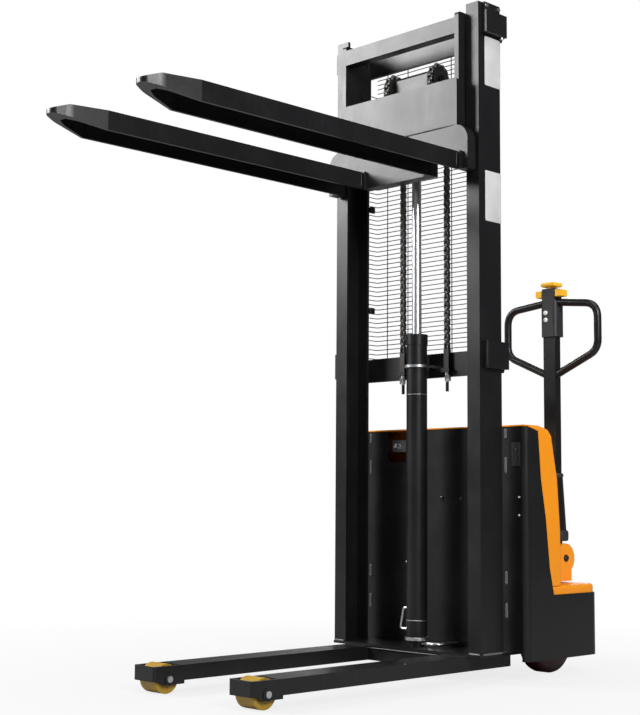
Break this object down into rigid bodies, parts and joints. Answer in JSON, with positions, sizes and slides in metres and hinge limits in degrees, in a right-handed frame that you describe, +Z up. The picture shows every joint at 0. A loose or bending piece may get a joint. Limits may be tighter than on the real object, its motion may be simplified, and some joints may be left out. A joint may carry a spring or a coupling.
{
  "type": "walkie stacker",
  "caption": "Pedestrian straddle-leg pallet stacker: single mast with raised box forks, low battery body and an offset steering tiller.",
  "frame": {"origin": "on the floor, under the middle of the machine's whole box, so the mast's centre line is at x = -0.0335", "axes": "+X across the machine towards the tiller's side, -Y along the forks, +Y towards the operator, +Z up"},
  "size_m": [0.777, 1.708, 2.041],
  "materials": {
    "powder_black": "satin black powder coat",
    "guard_black": "black dipped wire",
    "zinc": "zinc plated",
    "bare_steel": "oiled machined steel",
    "chain_steel": "oiled dark steel",
    "chromed": "polished hard chrome",
    "orange_cover": "orange-yellow moulded cover",
    "orange_paint": "orange-yellow paint",
    "yellow_plastic": "yellow moulding",
    "black_plastic": "fine-grained black moulding",
    "grey_plastic": "grey moulding",
    "red_plastic": "red moulding",
    "amber_tread": "amber cast polyurethane",
    "drive_tread": "dark red cast polyurethane",
    "caster_tread": "black cast polyurethane"
  },
  "bodies": {
    "frame": {"mast_upright_left": "powder_black", "mast_upright_right": "powder_black", "top_crossbeam": "powder_black", "mid_crossbeam": "powder_black", "mast_brackets": "powder_black", "bracket_bolts": "zinc", "mesh_guard": "guard_black", "straddle_leg_left": "powder_black", "straddle_leg_right": "powder_black", "wheel_housings": "powder_black", "load_axles": "zinc", "base_crossmember": "powder_black", "lift_cylinder": "powder_black", "gland_nut": "powder_black", "cylinder_strap": "zinc", "hydraulic_pipes": "zinc", "chain_rear_runs": "chain_steel", "chain_anchors": "zinc", "chassis_front_panel": "powder_black", "chassis_side_panels": "powder_black", "rear_skirt": "powder_black", "chassis_floor": "powder_black", "hood": "orange_cover", "deck_cover": "orange_cover", "battery": "black_plastic", "power_pack": "zinc", "charge_socket": "black_plastic"},
    "rod": {"lift_rod": "chromed", "crosshead": "powder_black", "chain_wraps": "chain_steel"},
    "sheave_l": {"sheave_left": "bare_steel"},
    "sheave_r": {"sheave_right": "bare_steel"},
    "carriage": {"carriage_side_plates": "powder_black", "carriage_top_bar": "powder_black", "carriage_front_plate": "powder_black", "fork_crossmember": "powder_black", "fork_left": "powder_black", "fork_right": "powder_black", "roller_pins": "bare_steel", "chain_front_runs": "chain_steel"},
    "roller_ll": {"mast_roller_lower_left": "bare_steel"},
    "roller_ul": {"mast_roller_upper_left": "bare_steel"},
    "roller_lr": {"mast_roller_lower_right": "bare_steel"},
    "roller_ur": {"mast_roller_upper_right": "bare_steel"},
    "load_l": {"load_roller_left": "amber_tread"},
    "load_r": {"load_roller_right": "amber_tread"},
    "steer": {"drive_unit": "bare_steel", "tiller_base": "orange_paint"},
    "drive": {"drive_wheel": "drive_tread"},
    "tiller": {"tiller_arm": "powder_black", "tiller_head": "black_plastic", "handle_loop": "powder_black"},
    "belly": {"belly_button": "yellow_plastic"},
    "throttle": {"thumb_throttle": "yellow_plastic"},
    "raise": {"raise_button": "grey_plastic"},
    "lower": {"lower_button": "grey_plastic"},
    "stop": {"emergency_stop": "red_plastic"},
    "key": {"key_switch": "zinc"},
    "caster": {"caster_yoke": "zinc"},
    "caster_w": {"caster_wheel": "caster_tread"}
  },
  "joints": [
    {"name": "rod_slide", "type": "slide", "parent": "frame", "child": "rod", "axis": [0, 0, 1], "range_m": [-0.739, 0.014], "deforming": ["chain_rear_runs"]},
    {"name": "carriage_slide", "type": "slide", "parent": "rod", "child": "carriage", "axis": [0, 0, 1], "range_m": [-0.739, 0.014], "deforming": ["chain_front_runs"]},
    {"name": "sheave_left_spin", "type": "hinge", "parent": "rod", "child": "sheave_l", "pos_m": [-0.1255, 0.396, 1.8526], "axis": [1, 0, 0], "range_deg": [-22, 1104]},
    {"name": "sheave_right_spin", "type": "hinge", "parent": "rod", "child": "sheave_r", "pos_m": [0.0585, 0.396, 1.8526], "axis": [1, 0, 0], "range_deg": [-22, 1104]},
    {"name": "roller_lower_left_spin", "type": "hinge", "parent": "carriage", "child": "roller_ll", "pos_m": [-0.3045, 0.39, 1.616], "axis": [1, 0, 0], "continuous": true},
    {"name": "roller_upper_left_spin", "type": "hinge", "parent": "carriage", "child": "roller_ul", "pos_m": [-0.3045, 0.39, 1.86], "axis": [1, 0, 0], "continuous": true},
    {"name": "roller_lower_right_spin", "type": "hinge", "parent": "carriage", "child": "roller_lr", "pos_m": [0.2375, 0.39, 1.616], "axis": [1, 0, 0], "continuous": true},
    {"name": "roller_upper_right_spin", "type": "hinge", "parent": "carriage", "child": "roller_ur", "pos_m": [0.2375, 0.39, 1.86], "axis": [1, 0, 0], "continuous": true},
    {"name": "load_left_spin", "type": "hinge", "parent": "frame", "child": "load_l", "pos_m": [-0.2325, -0.447, 0.0405], "axis": [1, 0, 0], "continuous": true},
    {"name": "load_right_spin", "type": "hinge", "parent": "frame", "child": "load_r", "pos_m": [0.1655, -0.447, 0.0405], "axis": [1, 0, 0], "continuous": true},
    {"name": "steering", "type": "hinge", "parent": "frame", "child": "steer", "pos_m": [0.2005, 0.736, 0.105], "axis": [0, 0, 1], "range_deg": [-90, 90]},
    {"name": "drive_spin", "type": "hinge", "parent": "steer", "child": "drive", "pos_m": [0.2005, 0.736, 0.105], "axis": [1, 0, 0], "continuous": true},
    {"name": "tiller_tilt", "type": "hinge", "parent": "steer", "child": "tiller", "pos_m": [0.2005, 0.786, 0.352], "axis": [-1, 0, 0], "range_deg": [0, 75], "stiffness_Nm_per_rad": 75},
    {"name": "belly_press", "type": "slide", "parent": "tiller", "child": "belly", "axis": [0, 0, -1], "range_m": [0, 0.006], "stiffness_N_per_m": 600},
    {"name": "throttle_turn", "type": "hinge", "parent": "tiller", "child": "throttle", "pos_m": [0.2005, 0.786, 1.193], "axis": [1, 0, 0], "range_deg": [-20, 20], "stiffness_Nm_per_rad": 0.4},
    {"name": "raise_press", "type": "slide", "parent": "tiller", "child": "raise", "axis": [0, -1, 0], "range_m": [0, 0.003], "stiffness_N_per_m": 500},
    {"name": "lower_press", "type": "slide", "parent": "tiller", "child": "lower", "axis": [0, -1, 0], "range_m": [0, 0.003], "stiffness_N_per_m": 500},
    {"name": "stop_press", "type": "slide", "parent": "frame", "child": "stop", "axis": [0, -1, 0], "range_m": [0, 0.006]},
    {"name": "key_turn", "type": "hinge", "parent": "frame", "child": "key", "pos_m": [-0.0635, 0.652, 0.64], "axis": [0, 1, 0], "range_deg": [0, 90]},
    {"name": "caster_swivel", "type": "hinge", "parent": "frame", "child": "caster", "pos_m": [-0.2675, 0.736, 0.14], "axis": [0, 0, 1], "continuous": true},
    {"name": "caster_spin", "type": "hinge", "parent": "caster", "child": "caster_w", "pos_m": [-0.2675, 0.768, 0.062], "axis": [1, 0, 0], "continuous": true}
  ],
  "couplings": [
    {"joint": "carriage_slide", "follows": "rod_slide", "ratio": 1},
    {"joint": "sheave_left_spin", "follows": "rod_slide", "rad_per_m": -26},
    {"joint": "sheave_right_spin", "follows": "rod_slide", "rad_per_m": -26}
  ]
}
